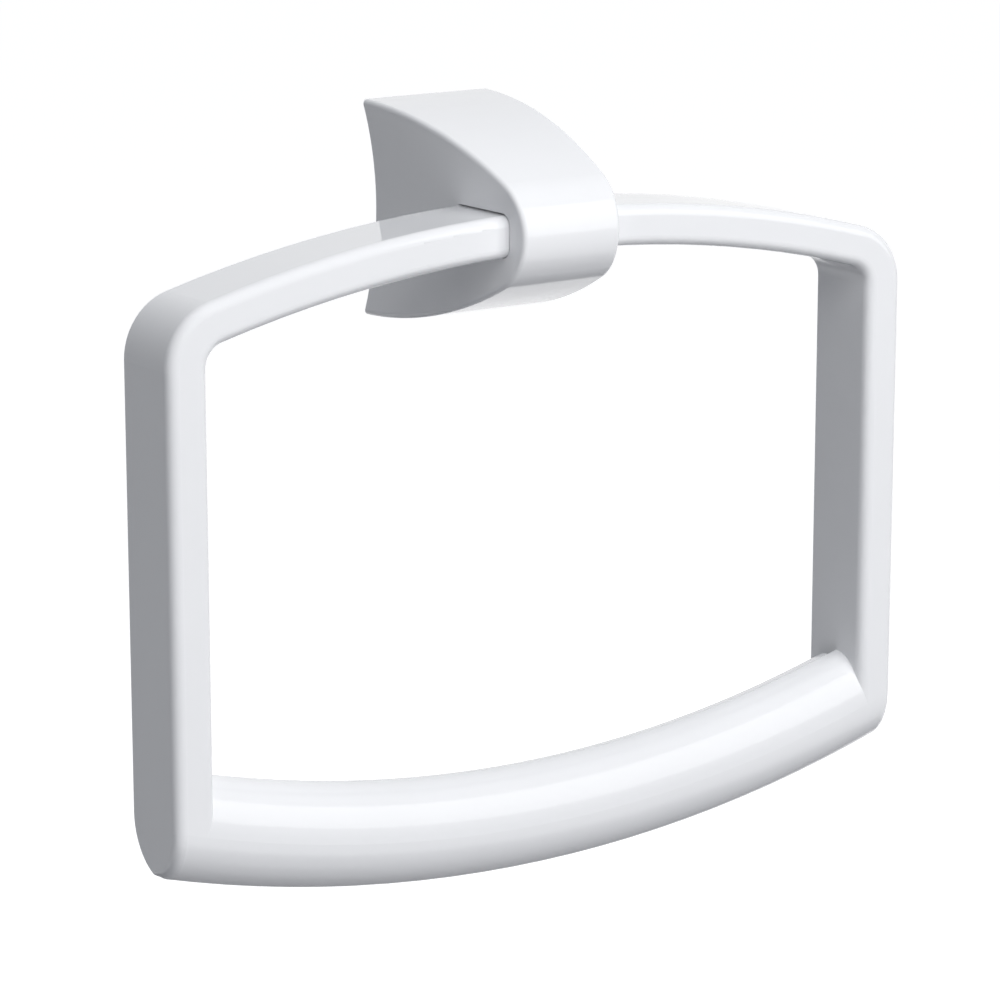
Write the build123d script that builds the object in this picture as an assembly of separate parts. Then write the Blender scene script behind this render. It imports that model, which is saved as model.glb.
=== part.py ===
from build123d import *
import os
from math import asin, cos, degrees, radians, sin, tan

# Towel ring of moulded plastic: a wide, gently arched ring whose top bar is held
# inside a D-shaped wall holder. Millimetres, +Z up, the wall is the plane Y=0 and
# the object stands out from it towards -Y. The origin is the middle of the
# holder's face on the wall. The ring is fast in its holder: nothing moves.

# Ring, seen from the front
ring_width = 220.0
ring_height = 170.0
leg_width = 10.9
top_bar_height = 10.5
top_bar_rise = 5.3
top_arch_radius = 372.0
outer_corner_radius = 16.0
inner_corner_radius = 6.0
front_edge_radius = 2.7

# Ring, seen from the side
ring_depth = 21.2
nose_in_front = 6.3

# Oval bottom bar, a front shell and a rear cover with a lip inside it
bottom_bar_height = 26.5
bottom_arch_radius = 378.3
shell_wall = 2.4
lip_thickness = 1.2
lip_reach = 2.4
lip_clearance = 0.15
cover_groove = 0.35
cover_end_gap = 2.8

# Cross ribs: in the cover, in the open backs of the legs and of the top bar
cover_rib_thickness = 1.6
cover_rib_count = 5
leg_rib_thickness = 1.5
leg_rib_count = 4
leg_rib_pitch = 26.0
top_rib_count = 3
top_rib_pitch = 22.0
rib_back_step = 3.0

# Holder
holder_projection = 64.8
holder_height = 55.4
holder_nose_radius = 14.6
holder_nose_width = 28.8
holder_flank_slope = 1.2
holder_side_hollow = 4.0
holder_draft = 1.0
holder_rim_radius = 1.2
holder_wall = 2.5
window_clearance = 0.15

# Ends of the ring and the retainer that holds them inside the holder
ring_end_gap = 11.0
boss_radius = 3.6
boss_spacing = 24.0
retainer_width = 22.0
retainer_margin = 4.0
retainer_corner_radius = 2.0
retainer_thickness = 3.0
retainer_clearance = 0.3
tongue_width = 3.0
tongue_length = 9.0
tongue_clearance = 0.3

# Two screws that hold the retainer
screw_radius = 1.5
screw_length = 12.0
screw_head_radius = 2.8
screw_head_height = 2.0
screw_head_round = 1.0
screw_hole_clearance = 0.25
screw_slot_width = 0.8
screw_slot_depth = 0.9

# Plate on the wall, with a hook at the top and a lug at the bottom
plate_thickness = 5.0
plate_clearance = 0.3
plate_screw_spacing = 24.0
plate_hole_radius = 2.25
plate_countersink_radius = 4.5
hook_width = 16.0
hook_rib_from_wall = 0.6
hook_rib_depth = 2.0
hook_rib_drop = 2.2
lug_width = 14.0
lug_depth = 10.4
lug_height = 4.6

# Set screw that comes up through the underside of the holder
set_screw_radius = 2.0
set_screw_length = 8.0
set_screw_from_wall = 6.0
set_screw_recess = 0.8
set_screw_boss_radius = 4.2
set_screw_boss_height = 3.0
set_screw_socket_radius = 1.2
set_screw_socket_depth = 2.5
set_screw_clearance = 0.25

# Places that follow from the sizes above
ring_front = holder_projection - nose_in_front
ring_from_wall = ring_front - ring_depth
bar_middle = ring_from_wall + ring_depth / 2
half_width = ring_width / 2
half_window = half_width - leg_width
window_top = top_bar_rise - top_bar_height
arch_axis_height = top_bar_rise - ring_height + bottom_arch_radius
bar_radius = bottom_arch_radius - bottom_bar_height / 2
arch_axis = Axis((0, 0, arch_axis_height), (0, 1, 0))
half_holder = holder_height / 2
retainer_front = ring_from_wall - retainer_clearance
retainer_back = retainer_front - retainer_thickness
inner_half_holder = half_holder - holder_wall
set_screw_boss_top = set_screw_boss_height - inner_half_holder

# Not sizes of the object: a length beyond any side of it, the angle over which the
# bottom arch is swept, how far a cutting shape runs past a face, how far two forms
# of one moulding run into each other, and the tolerances for picking edges
REACH = 400.0
ARCH_SWEEP = 70.0
CUT_PAST = 1.0
JOIN = 0.2
OFF_CENTRE = 1.0
PICK = 0.01


def front_sketch(shape, from_wall, depth):
    """Extrude a front-view sketch away from the wall."""
    return extrude(Plane.XZ.offset(from_wall) * shape, depth)


def block(width, near, far, bottom, top, x=0.0):
    """Box between two distances from the wall and two heights."""
    centre = (x, -(near + far) / 2, (bottom + top) / 2)
    return Pos(*centre) * Box(width, far - near, top - bottom)


def rod(radius, near, far, height, x=0.0):
    """Cylinder square to the wall between two distances from it."""
    return front_sketch(Pos(x, height) * Circle(radius), near, far - near)


def arch_disc(top, radius):
    """Front-view disc whose highest point is at a given height."""
    return Pos(0, top - radius) * Circle(radius)


def round_top(outline, radius):
    """Round the two top corners of a front-view outline."""
    return fillet(outline.vertices().sort_by(Axis.Y)[-2:], radius)


def ring_outline(inset=0.0):
    """Outer outline of the ring from the front, or the same line inside its wall."""
    middle = top_bar_rise - ring_height / 2
    sides = Pos(0, middle) * Rectangle(ring_width - 2 * inset, ring_height)
    outline = sides & arch_disc(top_bar_rise - inset, top_arch_radius - inset)
    outline = outline & Pos(0, arch_axis_height) * Circle(bottom_arch_radius - inset)
    return round_top(outline, outer_corner_radius - inset)


def window_outline(grow=0.0):
    """Opening of the ring down to mid bar, or the same line grown by a wall."""
    middle = top_bar_rise - ring_height / 2
    sides = Pos(0, middle) * Rectangle(2 * (half_window + grow), ring_height)
    opening = sides & arch_disc(window_top + grow, top_arch_radius - top_bar_height + grow)
    opening = opening & Pos(0, arch_axis_height) * Circle(bar_radius)
    return round_top(opening, inner_corner_radius + grow)


def bar_point(radius, from_wall):
    """Side-view point at a distance from the arch axis and from the wall."""
    return (-from_wall, arch_axis_height - radius)


def bar_section(inset=0.0):
    """Side view of the bottom bar: an oval with a fuller lower rear."""
    half_depth = ring_depth / 2 - inset
    half_height = bottom_bar_height / 2 - inset
    centre = bar_point(bar_radius, bar_middle)
    front = EllipticalCenterArc(centre, half_depth, half_height, 90, arc_size=180)
    rear_top = EllipticalCenterArc(centre, half_depth, half_height, 0, arc_size=90)
    rear_low = TangentArc(rear_top @ 0, front @ 1, tangent=(0, -1))
    return make_face(Curve() + [front, rear_top, rear_low])


def side_band(near, far, above=bottom_bar_height, below=bottom_bar_height):
    """Side-view band between two distances from the wall, above and below the bar's middle."""
    middle = bar_point(bar_radius + (below - above) / 2, (near + far) / 2)
    return Pos(*middle) * Rectangle(far - near, above + below)


def along_arch(profile, half_length):
    """Turn a side-view profile along the bottom arch, cut square at both ends."""
    swept = revolve(Plane.YZ * profile, arch_axis, ARCH_SWEEP).rotate(arch_axis, -ARCH_SWEEP / 2)
    return swept & Box(2 * half_length, REACH, 2 * REACH)


def in_front_half(edge):
    """True for an edge that lies no further back than the middle of the bar."""
    return edge.bounding_box().max.Y < PICK - bar_middle


def ring_blank():
    """Solid outer form of the ring: flat front and back, oval underside, rounded front edges."""
    tall_band = side_band(ring_from_wall, ring_front, above=ring_height, below=0)
    envelope = along_arch(tall_band + bar_section(), REACH)
    blank = front_sketch(ring_outline(), 0, 2 * ring_front) & envelope
    front_edges = [e for e in blank.edges() if in_front_half(e)]
    outer_edges = [e for e in front_edges if abs((e @ 0.5).X) > OFF_CENTRE or (e @ 0.5).Z > 0]
    return fillet(outer_edges, front_edge_radius)


def open_window(blank):
    """Cut the ring's opening, round its front edges and add the upper half of the bar."""
    ring = blank - front_sketch(window_outline(), 0, 2 * ring_front)
    front_edges = [e for e in ring.edges() if e.bounding_box().max.Y < PICK - ring_front]
    inner_edges = [e for e in front_edges if window_outline_holds(e @ 0.5)]
    ring = fillet(inner_edges, front_edge_radius)
    upper_half = bar_section() & side_band(ring_from_wall, ring_front, below=0)
    return ring + along_arch(upper_half, half_window + front_edge_radius + JOIN)


def window_outline_holds(point):
    """True for a point on the sides or the top of the ring's opening."""
    above_bar = point.Z > arch_axis_height - bar_radius + OFF_CENTRE
    return above_bar and abs(point.X) < half_window + PICK and point.Z < window_top + PICK


def leg_ribs():
    """Cross ribs left standing in the open back of each leg."""
    middle = (window_top + arch_axis_height - bar_radius) / 2
    ribs = []
    for number in range(leg_rib_count):
        height = middle + (number - (leg_rib_count - 1) / 2) * leg_rib_pitch
        half = leg_rib_thickness / 2
        ribs.append(block(REACH, ring_from_wall + rib_back_step, ring_front,
                          height - half, height + half))
    return ribs


def top_ribs():
    """Cross ribs left standing in the open back of each half of the top bar."""
    ribs = []
    for side in (-1, 1):
        for number in range(top_rib_count):
            x = side * (half_window / 2 + (number - (top_rib_count - 1) / 2) * top_rib_pitch)
            ribs.append(block(leg_rib_thickness, ring_from_wall + rib_back_step, ring_front,
                              window_top - outer_corner_radius, top_bar_rise, x))
    return ribs


def end_gap_block(grow=0.0):
    """Gap between the two ends of the top bar, or the same grown by their end walls."""
    low, high = window_top - CUT_PAST, top_bar_rise + CUT_PAST
    return block(ring_end_gap + 2 * grow, 0, REACH, low, high)


def channel_core():
    """Space inside the legs and the top bar, open at the back."""
    outline = ring_outline(shell_wall) - window_outline(shell_wall)
    outline = outline & Pos(0, arch_axis_height) * Circle(bar_radius - shell_wall)
    core = front_sketch(outline, ring_from_wall - CUT_PAST, ring_depth + CUT_PAST - shell_wall)
    core = core - end_gap_block(shell_wall)
    return core - leg_ribs() - top_ribs()


def bar_core():
    """Space inside the bottom bar's front shell, its rebate, and all that is behind it."""
    rear = bar_middle - CUT_PAST
    inside = bar_section(shell_wall) & side_band(rear, ring_front)
    rebate = bar_section(lip_thickness) & side_band(rear, bar_middle + lip_reach + lip_clearance)
    behind = side_band(0, bar_middle)
    return along_arch(inside + rebate + behind, half_window)


def ring_frame():
    """The moulded ring: open channels in the legs and top bar, front shell of the bottom bar."""
    ring = open_window(ring_blank())
    ring = ring - bar_core() - channel_core()
    return ring - end_gap_block()


def cover_ribs():
    """Cross plates inside the rear cover, square to the arch."""
    plate = bar_section(shell_wall - JOIN) & side_band(0, bar_middle + lip_reach)
    span = degrees(asin((half_window - cover_end_gap) / bar_radius)) * 2
    slab = along_arch(plate, cover_rib_thickness / 2)
    step = span / cover_rib_count
    turns = [(n - (cover_rib_count - 1) / 2) * step for n in range(cover_rib_count)]
    return [slab.rotate(arch_axis, turn) for turn in turns]


def bar_rear_cover():
    """Rear half of the oval bar, with a lip that stands inside the front shell."""
    skin = bar_section() - bar_section(shell_wall)
    skin = skin & side_band(0, bar_middle - cover_groove)
    lip = bar_section(lip_thickness + lip_clearance) - bar_section(shell_wall)
    lip = lip & side_band(bar_middle - cover_groove - lip_reach, bar_middle + lip_reach)
    cover = along_arch(skin + lip, half_window - cover_end_gap)
    return cover + cover_ribs()


def holder_side_view(inset=0.0):
    """D-shaped side view of the holder: two long flanks that meet in a rounded nose."""
    reach = holder_projection - holder_nose_radius
    slope = radians(holder_flank_slope)
    flank_radius = reach ** 2 + half_holder ** 2 - holder_nose_radius ** 2
    flank_radius /= 2 * (half_holder * cos(slope) - reach * sin(slope) - holder_nose_radius)
    disc = Circle(flank_radius - inset)
    behind, drop = flank_radius * sin(slope), flank_radius * cos(slope) - half_holder
    lens = Pos(behind, drop) * disc & Pos(behind, -drop) * disc
    lens = lens & Pos(-REACH / 2, 0) * Rectangle(REACH, REACH)
    return fillet(lens.vertices().sort_by(Axis.X)[0], holder_nose_radius - inset)


def holder_waist(inset=0.0):
    """Front view of the holder at the wall: two hollow sides, grown towards top and bottom."""
    half_waist = holder_nose_width / 2 + holder_projection * tan(radians(holder_draft))
    hollow_radius = (half_holder ** 2 + holder_side_hollow ** 2) / (2 * holder_side_hollow)
    shape = Rectangle(2 * half_waist + 4 * holder_side_hollow,
                      holder_height + 2 * holder_side_hollow)
    for side in (-1, 1):
        shape = shape - Pos(side * (half_waist + hollow_radius), 0) * Circle(hollow_radius + inset)
    return shape


def holder_body(inset=0.0):
    """Solid holder form, or the core inside its wall."""
    waist = Plane.XZ * holder_waist(inset)
    drafted = extrude(waist, holder_projection + CUT_PAST, taper=holder_draft)
    return drafted & extrude(Plane.YZ * holder_side_view(inset), REACH, both=True)


def bar_window():
    """Opening through both sides of the holder, the bar's section with a clearance."""
    sag = (holder_nose_width / 2) ** 2 / (2 * top_arch_radius)
    height = top_bar_height + sag + 2 * window_clearance
    shape = Rectangle(ring_depth + 2 * window_clearance, height)
    shape = fillet(shape.vertices().sort_by(Axis.X)[:2], front_edge_radius + window_clearance)
    middle = (top_bar_rise + window_top - sag) / 2
    return extrude(Plane.YZ * (Pos(-bar_middle, middle) * shape), REACH, both=True)


def boss_heights():
    """Heights of the two screw bosses, above and below the top bar."""
    middle = (top_bar_rise + window_top) / 2
    return [middle - boss_spacing / 2, middle + boss_spacing / 2]


def holder_shell():
    """Hollow holder with side windows, retainer bosses, hook rib and set screw boss."""
    outer = holder_body()
    off_wall = [e for e in outer.edges() if e.bounding_box().min.Y < -OFF_CENTRE]
    rim = [e for e in off_wall if abs((e @ 0.5).X) > OFF_CENTRE]
    outer = fillet(rim, holder_rim_radius)
    shell = outer - holder_body(holder_wall)
    for height in boss_heights():
        shell = shell + (rod(boss_radius, retainer_front, holder_projection, height) & outer)
    shell = shell + (block(hook_width, hook_rib_from_wall, hook_rib_from_wall + hook_rib_depth,
                           inner_half_holder - hook_rib_drop, half_holder) & outer)
    boss = Cylinder(set_screw_boss_radius, set_screw_boss_height + holder_wall)
    boss_middle = set_screw_boss_top - (set_screw_boss_height + holder_wall) / 2
    shell = shell + (Pos(0, -set_screw_from_wall, boss_middle) * boss & outer)
    shell = shell - bar_window()
    for height in boss_heights():
        shell = shell - rod(screw_radius, 0, retainer_back + screw_length + CUT_PAST, height)
    hole = Cylinder(set_screw_radius, 2 * (set_screw_boss_height + holder_wall + CUT_PAST))
    return shell - Pos(0, -set_screw_from_wall, -half_holder) * hole


def ring_retainer():
    """Plate screwed to the bosses, with a tongue in the open back of each ring end."""
    low, high = boss_heights()
    plate = block(retainer_width, retainer_back, retainer_front,
                  low - retainer_margin, high + retainer_margin)
    plate = fillet(plate.edges().filter_by(Axis.Y), retainer_corner_radius)
    tongue_start = ring_end_gap / 2 + shell_wall + tongue_clearance
    half_sag = (tongue_start + tongue_width) ** 2 / (2 * top_arch_radius)
    top = top_bar_rise - shell_wall - tongue_clearance - half_sag
    bottom = window_top + shell_wall + tongue_clearance
    for side in (-1, 1):
        x = side * (tongue_start + tongue_width / 2)
        plate = plate + block(tongue_width, retainer_front - JOIN, retainer_front + tongue_length,
                              bottom, top, x)
    for height in boss_heights():
        plate = plate - rod(screw_radius + screw_hole_clearance, 0, REACH, height)
    return plate


def retainer_screws():
    """The two screws, with slotted pan heads on the back of the retainer."""
    screws = []
    for height in boss_heights():
        shank = rod(screw_radius, retainer_back, retainer_back + screw_length, height)
        head = rod(screw_head_radius, retainer_back - screw_head_height, retainer_back, height)
        head = fillet(head.edges().sort_by(Axis.Y)[-1], screw_head_round)
        slot_bottom = retainer_back - screw_head_height + screw_slot_depth
        half_slot = screw_slot_width / 2
        slot = block(REACH, 0, slot_bottom, height - half_slot, height + half_slot)
        screws.append(shank + head - slot)
    return Compound(children=screws)


def wall_plate():
    """Plate inside the back of the holder, with hook tongue, lug and two screw holes."""
    gap = holder_wall + plate_clearance
    core = holder_body(gap)
    plate = core & block(REACH, 0, plate_thickness, -half_holder, half_holder)
    rib_front = hook_rib_from_wall + hook_rib_depth + plate_clearance
    rib_bottom = inner_half_holder - hook_rib_drop - plate_clearance
    plate = plate - block(hook_width + 2 * plate_clearance, -CUT_PAST, rib_front,
                          rib_bottom, half_holder)
    boss_gap = set_screw_boss_top + plate_clearance
    plate = plate + block(lug_width, 0, lug_depth, boss_gap, boss_gap + lug_height)
    notch_width = 2 * (set_screw_boss_radius + plate_clearance)
    plate = plate - block(notch_width, -CUT_PAST, lug_depth + CUT_PAST, -half_holder, boss_gap)
    for side in (-1, 1):
        height = side * plate_screw_spacing / 2
        plate = plate - rod(plate_hole_radius, -CUT_PAST, plate_thickness + CUT_PAST, height)
        depth = plate_countersink_radius - plate_hole_radius
        sink = Cone(plate_countersink_radius, plate_hole_radius, depth)
        plate = plate - Pos(0, -plate_thickness + depth / 2, height) * Rot(-90, 0, 0) * sink
    hole_top = set_screw_tip() + set_screw_clearance
    hole = Cylinder(set_screw_radius + set_screw_clearance, hole_top - boss_gap + CUT_PAST)
    return plate - Pos(0, -set_screw_from_wall, (hole_top + boss_gap - CUT_PAST) / 2) * hole


def set_screw_tip():
    """Height of the upper end of the set screw."""
    return set_screw_recess - half_holder + set_screw_length


def set_screw():
    """Headless screw with a socket in its lower end."""
    middle = set_screw_tip() - set_screw_length / 2
    screw = Pos(0, -set_screw_from_wall, middle) * Cylinder(set_screw_radius, set_screw_length)
    socket = extrude(RegularPolygon(set_screw_socket_radius, 6), set_screw_socket_depth)
    return screw - Pos(0, -set_screw_from_wall, set_screw_tip() - set_screw_length) * socket


NODES = {
    "ring_frame": ring_frame,
    "bar_rear_cover": bar_rear_cover,
    "holder_shell": holder_shell,
    "ring_retainer": ring_retainer,
    "retainer_screws": retainer_screws,
    "wall_plate": wall_plate,
    "set_screw": set_screw,
}

os.makedirs("parts", exist_ok=True)
for name, make in NODES.items():
    export_step(make(), f"parts/{name}.step")
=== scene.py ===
"""Towel ring on its wall holder: finishes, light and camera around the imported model."""

import logging
from dataclasses import dataclass, field
from enum import Enum
from math import radians

import bpy
import numpy as np
from mathutils import Euler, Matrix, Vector

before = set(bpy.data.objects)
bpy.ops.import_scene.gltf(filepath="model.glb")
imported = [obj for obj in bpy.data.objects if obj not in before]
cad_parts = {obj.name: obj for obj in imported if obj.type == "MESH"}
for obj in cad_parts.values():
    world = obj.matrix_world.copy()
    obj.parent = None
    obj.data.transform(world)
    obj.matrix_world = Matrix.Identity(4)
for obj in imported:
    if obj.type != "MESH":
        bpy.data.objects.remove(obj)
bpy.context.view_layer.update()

LOG = logging.getLogger("towel_ring")

Colour = tuple[float, float, float]
Point = tuple[float, float, float]

# About the middle of the object, which the lamps face.
MIDDLE: Point = (0.0, -0.03, -0.08)

# Most of a noise node's values lie between these.
NOISE_LOW = 0.3
NOISE_HIGH = 0.7

# The Mix node repeats its sockets' names for each type of data, so they go by place.
MIX_FACTOR = 0
MIX_NUMBERS_IN = (2, 3)
MIX_NUMBER_OUT = 0
MIX_COLOURS_IN = (6, 7)
MIX_COLOUR_OUT = 2


class Shader:
    """A node material that is wired up step by step."""

    def __init__(self, name: str) -> None:
        """Start an empty node material.

        Args:
            name: name of the material.
        """
        self.material = bpy.data.materials.new(name)
        self.material.use_nodes = True
        self.tree = self.material.node_tree
        self.tree.nodes.clear()
        self.output = self.add("ShaderNodeOutputMaterial")

    def add(self, kind: str, **settings: object) -> bpy.types.Node:
        """Add a node.

        Args:
            kind: Blender's name for the type of node.
            settings: values for sockets, with underscores for spaces in their names,
                or for the node's own properties, in lower case.

        Returns:
            The new node.
        """
        node = self.tree.nodes.new(kind)
        for key, value in settings.items():
            socket = node.inputs.get(key.replace("_", " "))
            if socket is not None:
                socket.default_value = value
            else:
                setattr(node, key, value)
        return node

    def wire(self, source: bpy.types.NodeSocket, target: bpy.types.NodeSocket) -> None:
        """Join one node's output to another node's input."""
        self.tree.links.new(source, target)

    def noise(self, scale: float, detail: float,
              stretch: Point = (1.0, 1.0, 1.0)) -> bpy.types.NodeSocket:
        """Noise that is fixed to the object.

        Args:
            scale: spots in a metre.
            detail: how many finer layers the noise has.
            stretch: how much more often the noise changes along each axis.

        Returns:
            The noise's value, mostly between NOISE_LOW and NOISE_HIGH.
        """
        place = self.add("ShaderNodeTexCoord")
        mapping = self.add("ShaderNodeMapping", Scale=stretch)
        pattern = self.add("ShaderNodeTexNoise", Scale=scale, Detail=detail)
        self.wire(place.outputs["Object"], mapping.inputs["Vector"])
        self.wire(mapping.outputs["Vector"], pattern.inputs["Vector"])
        return pattern.outputs["Fac"]

    def spread(self, source: bpy.types.NodeSocket, low: float,
               high: float) -> bpy.types.NodeSocket:
        """Map noise from its usual range to a range of values.

        Args:
            source: the noise.
            low: value at the noise's low end.
            high: value at its high end.

        Returns:
            The mapped value.
        """
        span = self.add("ShaderNodeMapRange", From_Min=NOISE_LOW, From_Max=NOISE_HIGH,
                        To_Min=low, To_Max=high)
        self.wire(source, span.inputs["Value"])
        return span.outputs["Result"]

    def mix(self, factor: bpy.types.NodeSocket, first: Colour,
            second: Colour) -> bpy.types.NodeSocket:
        """Mix two colours.

        Args:
            factor: 0 for the first colour, 1 for the second.
            first: the first colour.
            second: the second colour.

        Returns:
            The mixed colour.
        """
        blend = self.add("ShaderNodeMix", data_type="RGBA")
        for place, colour in zip(MIX_COLOURS_IN, (first, second)):
            blend.inputs[place].default_value = (*colour, 1.0)
        self.wire(factor, blend.inputs[MIX_FACTOR])
        return blend.outputs[MIX_COLOUR_OUT]


@dataclass(frozen=True)
class MouldedPlastic:
    """Injection-moulded plastic: cloudy colour, uneven gloss and a faint skin texture.

    The scales are spots in a metre, and skin_depth is in metres.
    """

    name: str
    light: Colour
    shade: Colour
    gloss_low: float
    gloss_high: float
    cloud_scale: float = 28.0
    cloud_detail: float = 3.0
    gloss_scale: float = 90.0
    gloss_detail: float = 2.0
    skin_scale: float = 260.0
    skin_detail: float = 2.0
    skin_strength: float = 0.25
    skin_depth: float = 0.0000015
    refraction: float = 1.49

    def make(self) -> bpy.types.Material:
        """Build the finish.

        Returns:
            The material.
        """
        shader = Shader(self.name)
        body = shader.add("ShaderNodeBsdfPrincipled", IOR=self.refraction)
        cloud = shader.spread(shader.noise(self.cloud_scale, self.cloud_detail), 0.0, 1.0)
        shader.wire(shader.mix(cloud, self.light, self.shade), body.inputs["Base Color"])
        gloss = shader.spread(shader.noise(self.gloss_scale, self.gloss_detail),
                              self.gloss_low, self.gloss_high)
        shader.wire(gloss, body.inputs["Roughness"])
        skin = shader.add("ShaderNodeBump", Strength=self.skin_strength,
                          Distance=self.skin_depth)
        shader.wire(shader.noise(self.skin_scale, self.skin_detail), skin.inputs["Height"])
        shader.wire(skin.outputs["Normal"], body.inputs["Normal"])
        shader.wire(body.outputs["BSDF"], shader.output.inputs["Surface"])
        return shader.material


@dataclass(frozen=True)
class TurnedSteel:
    """Plated steel of small screws, with fine turning marks in level rings.

    mark_scale is marks in a metre, and mark_stretch spreads each mark out sideways.
    """

    name: str
    light: Colour
    shade: Colour
    gloss_low: float = 0.22
    gloss_high: float = 0.4
    mark_scale: float = 900.0
    mark_detail: float = 3.0
    mark_stretch: Point = (0.3, 0.3, 1.0)

    def make(self) -> bpy.types.Material:
        """Build the finish.

        Returns:
            The material.
        """
        shader = Shader(self.name)
        body = shader.add("ShaderNodeBsdfPrincipled", Metallic=1.0)
        marks = shader.noise(self.mark_scale, self.mark_detail, self.mark_stretch)
        colour = shader.mix(shader.spread(marks, 0.0, 1.0), self.light, self.shade)
        shader.wire(colour, body.inputs["Base Color"])
        gloss = shader.spread(marks, self.gloss_low, self.gloss_high)
        shader.wire(gloss, body.inputs["Roughness"])
        shader.wire(body.outputs["BSDF"], shader.output.inputs["Surface"])
        return shader.material


GLOSS_WHITE = MouldedPlastic(
    "gloss_white_plastic", light=(0.90, 0.905, 0.92), shade=(0.885, 0.89, 0.905),
    gloss_low=0.006, gloss_high=0.016)
INNER_WHITE = MouldedPlastic(
    "inner_white_plastic", light=(0.86, 0.865, 0.875), shade=(0.82, 0.825, 0.84),
    gloss_low=0.38, gloss_high=0.52, skin_depth=0.00006)
PLATED_STEEL = TurnedSteel(
    "plated_screw_steel", light=(0.68, 0.68, 0.69), shade=(0.55, 0.55, 0.56))


@dataclass
class Dressing:
    """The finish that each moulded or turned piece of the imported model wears."""

    wears: dict[str, MouldedPlastic | TurnedSteel] = field(default_factory=lambda: {
        "ring_frame": GLOSS_WHITE,
        "bar_rear_cover": GLOSS_WHITE,
        "holder_shell": GLOSS_WHITE,
        "ring_retainer": INNER_WHITE,
        "wall_plate": INNER_WHITE,
        "retainer_screws": PLATED_STEEL,
        "set_screw": PLATED_STEEL,
    })

    def put_on(self) -> None:
        """Give each piece its finish, made once for the pieces that share it."""
        made: dict[str, bpy.types.Material] = {}
        for name, finish in self.wears.items():
            if finish.name not in made:
                made[finish.name] = finish.make()
            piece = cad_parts[name]
            piece.data.materials.clear()
            piece.data.materials.append(made[finish.name])
            LOG.info("%s wears %s", name, finish.name)


class LampRole(Enum):
    """What a lamp does: light the surfaces, or show in their gloss."""

    FILL = "fill"
    REFLECTION = "reflection"


@dataclass(frozen=True)
class Softbox:
    """A rectangular soft lamp, which the camera itself doesn't see.

    Its power is its radiance times its width, its height and pi.
    """

    name: str
    centre: Point
    width: float
    height: float
    radiance: float
    role: LampRole = LampRole.FILL
    aim: Point = MIDDLE

    def hang(self) -> None:
        """Put the lamp in place, its face square to the line to its aim, its top edge level."""
        lamp = bpy.data.lights.new(self.name, "AREA")
        lamp.shape = "RECTANGLE"
        lamp.size = self.width
        lamp.size_y = self.height
        lamp.energy = self.radiance * np.pi * self.width * self.height
        holder = bpy.data.objects.new(self.name, lamp)
        holder.location = self.centre
        line = Vector(self.aim) - Vector(self.centre)
        holder.rotation_euler = line.to_track_quat("-Z", "Y").to_euler()
        holder.visible_camera = False
        holder.visible_glossy = self.role is LampRole.REFLECTION
        holder.visible_diffuse = self.role is LampRole.FILL
        bpy.context.scene.collection.objects.link(holder)
        LOG.info("%s hangs at %s", self.name, self.centre)


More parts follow.
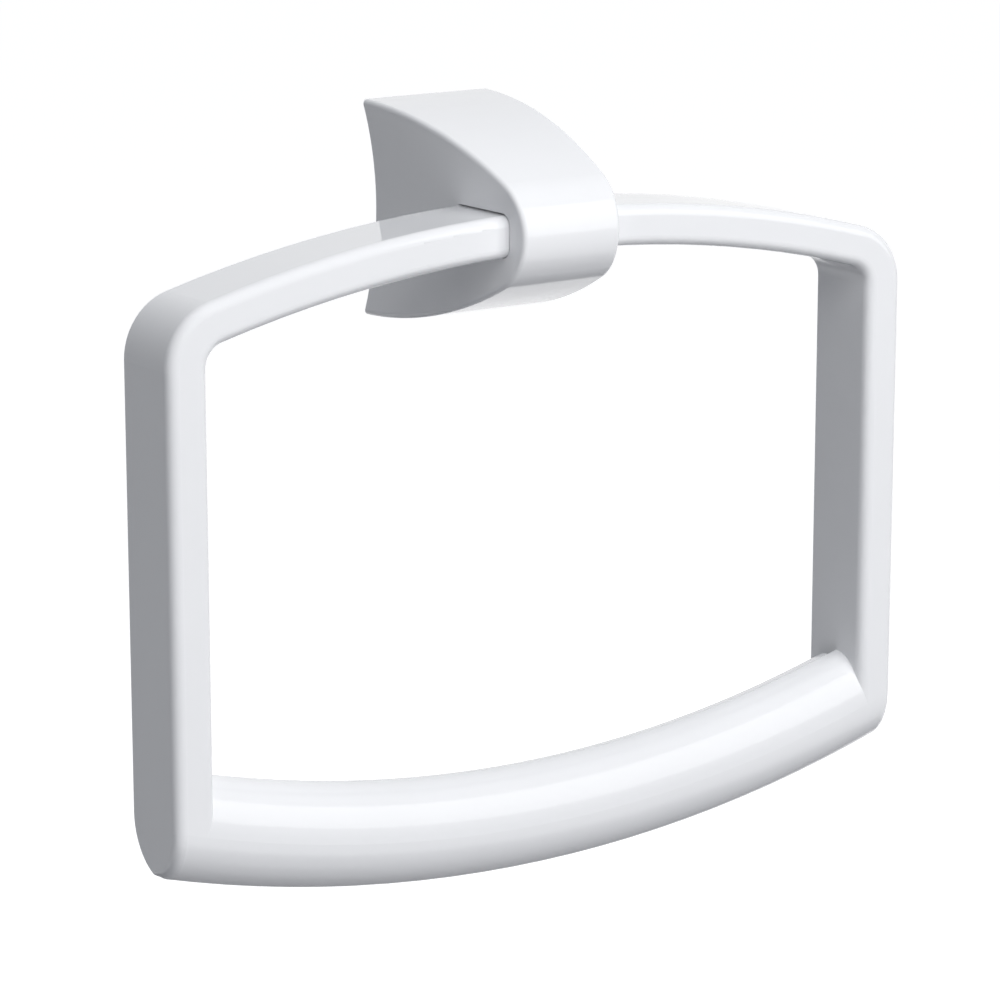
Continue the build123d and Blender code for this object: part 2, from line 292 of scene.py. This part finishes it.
@dataclass
class Studio:
    """Pale floor, soft lamps, white surroundings and the camera of the photograph.

    Lengths are in metres, but the camera's lens is in millimetres. The camera's azimuth is how
    far it is turned right from facing the wall, and its fall is how far it looks down, both in
    degrees. Within near_radius the floor is dim in gloss, which is painted shade in the
    object's reflections of the floor, and it turns white over near_fade beyond that.
    """

    floor_height: float = -0.6
    floor_radius: float = 9.0
    floor_sides: int = 96
    floor_colour: Colour = (0.42, 0.42, 0.43)
    floor_strength: float = 0.97
    # Painted shade: how white the floor is in gloss near the object.
    near_radius: float = 0.62
    near_fade: float = 0.12
    near_strength: float = 0.1
    ambient: Colour = (0.06, 0.07, 0.09)
    camera_place: Point = (-0.55155, -0.84107, 0.15739)
    camera_azimuth: float = 34.322
    camera_fall: float = 13.225
    camera_nearest: float = 0.01
    lens: float = 142.19
    lamps: tuple[Softbox, ...] = (
        Softbox("front_overhead_softbox", (0.15, -1.1, 0.95), 1.3, 0.8, 4.17),
        Softbox("front_low_softbox", (0.3, -1.5, 0.05), 1.2, 0.8, 1.85),
        Softbox("front_near_softbox", (0.0, -0.8, 0.35), 0.6, 0.4, 1.7),
        Softbox("left_softbox", (-0.9, -0.25, 0.4), 0.6, 0.6, 1.05),
        Softbox("top_rear_softbox", (0.1, 0.5, 1.2), 1.2, 0.8, 1.03),
        Softbox("right_rear_softbox", (0.9, 1.0, 0.5), 0.9, 0.9, 1.9),
        Softbox("right_window", (0.745, -0.67, 0.3125), 0.81, 0.775, 1.8,
                LampRole.REFLECTION, (0.745, 0.0, 0.3125)),
    )

    def floor(self) -> None:
        """Make the floor: a level disc that is pale to the light and white to the camera.

        Its rim's points are the radius times the cosine and the sine of equal turns.
        """
        turn = np.linspace(0.0, 2 * np.pi, self.floor_sides, endpoint=False)
        rim = np.stack([self.floor_radius * np.cos(turn), self.floor_radius * np.sin(turn),
                        np.full_like(turn, self.floor_height)], axis=1)
        mesh = bpy.data.meshes.new("studio_floor")
        mesh.from_pydata(rim.tolist(), [], [list(range(len(rim)))])
        floor = bpy.data.objects.new("studio_floor", mesh)
        bpy.context.scene.collection.objects.link(floor)
        shader = Shader("pale_floor")
        matt = shader.add("ShaderNodeBsdfDiffuse", Color=(*self.floor_colour, 1.0))
        white = shader.add("ShaderNodeEmission")
        both = shader.add("ShaderNodeAddShader")
        pick = shader.add("ShaderNodeMixShader")
        shader.wire(self.floor_white(shader), white.inputs["Strength"])
        shader.wire(matt.outputs[0], both.inputs[0])
        shader.wire(white.outputs[0], both.inputs[1])
        shader.wire(seen_directly(shader.tree), pick.inputs[0])
        shader.wire(matt.outputs[0], pick.inputs[1])
        shader.wire(both.outputs[0], pick.inputs[2])
        shader.wire(pick.outputs[0], shader.output.inputs["Surface"])
        mesh.materials.append(shader.material)

    def floor_white(self, shader: Shader) -> bpy.types.NodeSocket:
        """How white the floor is: all over to the eye, but in gloss only away from the object.

        Args:
            shader: the floor's material.

        Returns:
            The strength of the white.
        """
        place = shader.add("ShaderNodeTexCoord")
        flat = shader.add("ShaderNodeVectorMath", operation="MULTIPLY")
        flat.inputs[1].default_value = (1.0, 1.0, 0.0)
        reach = shader.add("ShaderNodeVectorMath", operation="LENGTH")
        # Painted shade in reflections: near the object the floor's white is dimmed for gloss
        # rays, which darkens the object's undersides.
        fade = shader.add("ShaderNodeMapRange",
                          From_Min=self.near_radius, From_Max=self.near_radius + self.near_fade,
                          To_Min=self.near_strength, To_Max=self.floor_strength)
        path = shader.add("ShaderNodeLightPath")
        pick = shader.add("ShaderNodeMix")
        in_gloss, to_camera = MIX_NUMBERS_IN
        shader.wire(place.outputs["Object"], flat.inputs[0])
        shader.wire(flat.outputs[0], reach.inputs[0])
        shader.wire(reach.outputs["Value"], fade.inputs["Value"])
        shader.wire(path.outputs["Is Camera Ray"], pick.inputs[MIX_FACTOR])
        shader.wire(fade.outputs["Result"], pick.inputs[in_gloss])
        pick.inputs[to_camera].default_value = self.floor_strength
        return pick.outputs[MIX_NUMBER_OUT]

    def surroundings(self) -> None:
        """Set the world: white where it is seen, and faint and cool where it only lights."""
        world = bpy.data.worlds.new("studio_air")
        world.use_nodes = True
        tree = world.node_tree
        tree.nodes.clear()
        output = tree.nodes.new("ShaderNodeOutputWorld")
        soft = tree.nodes.new("ShaderNodeBackground")
        soft.inputs["Color"].default_value = (*self.ambient, 1.0)
        white = tree.nodes.new("ShaderNodeBackground")
        white.inputs["Color"].default_value = (1.0, 1.0, 1.0, 1.0)
        pick = tree.nodes.new("ShaderNodeMixShader")
        tree.links.new(seen_directly(tree), pick.inputs[0])
        tree.links.new(soft.outputs[0], pick.inputs[1])
        tree.links.new(white.outputs[0], pick.inputs[2])
        tree.links.new(pick.outputs[0], output.inputs["Surface"])
        bpy.context.scene.world = world

    def camera(self) -> None:
        """Stand the camera where the photograph was taken from."""
        data = bpy.data.cameras.new("photograph_camera")
        data.lens = self.lens
        data.clip_start = self.camera_nearest
        camera = bpy.data.objects.new("photograph_camera", data)
        camera.location = self.camera_place
        # Unturned, a camera looks straight down, which is 90 degrees below level.
        camera.rotation_euler = Euler((radians(90 - self.camera_fall), 0.0,
                                       radians(-self.camera_azimuth)))
        bpy.context.scene.collection.objects.link(camera)
        bpy.context.scene.camera = camera

    def build(self) -> None:
        """Set up everything around the object."""
        self.floor()
        self.surroundings()
        for lamp in self.lamps:
            lamp.hang()
        self.camera()
        bpy.context.scene.view_settings.view_transform = "Standard"


def seen_directly(tree: bpy.types.NodeTree) -> bpy.types.NodeSocket:
    """Tell rays that show a surface, to the eye or in gloss and glass, from those that light.

    Args:
        tree: the node tree to work in.

    Returns:
        1 for camera, glossy and transmission rays, and 0 for the others.
    """
    path = tree.nodes.new("ShaderNodeLightPath")
    total = path.outputs["Is Camera Ray"]
    for kind in ("Is Glossy Ray", "Is Transmission Ray"):
        either = tree.nodes.new("ShaderNodeMath")
        either.operation = "MAXIMUM"
        tree.links.new(total, either.inputs[0])
        tree.links.new(path.outputs[kind], either.inputs[1])
        total = either.outputs[0]
    return total


def main() -> None:
    """Dress the pieces, then set the studio up around them."""
    logging.basicConfig(level=logging.INFO, format="%(name)s: %(message)s")
    Dressing().put_on()
    Studio().build()


if __name__ == "__main__":
    main()
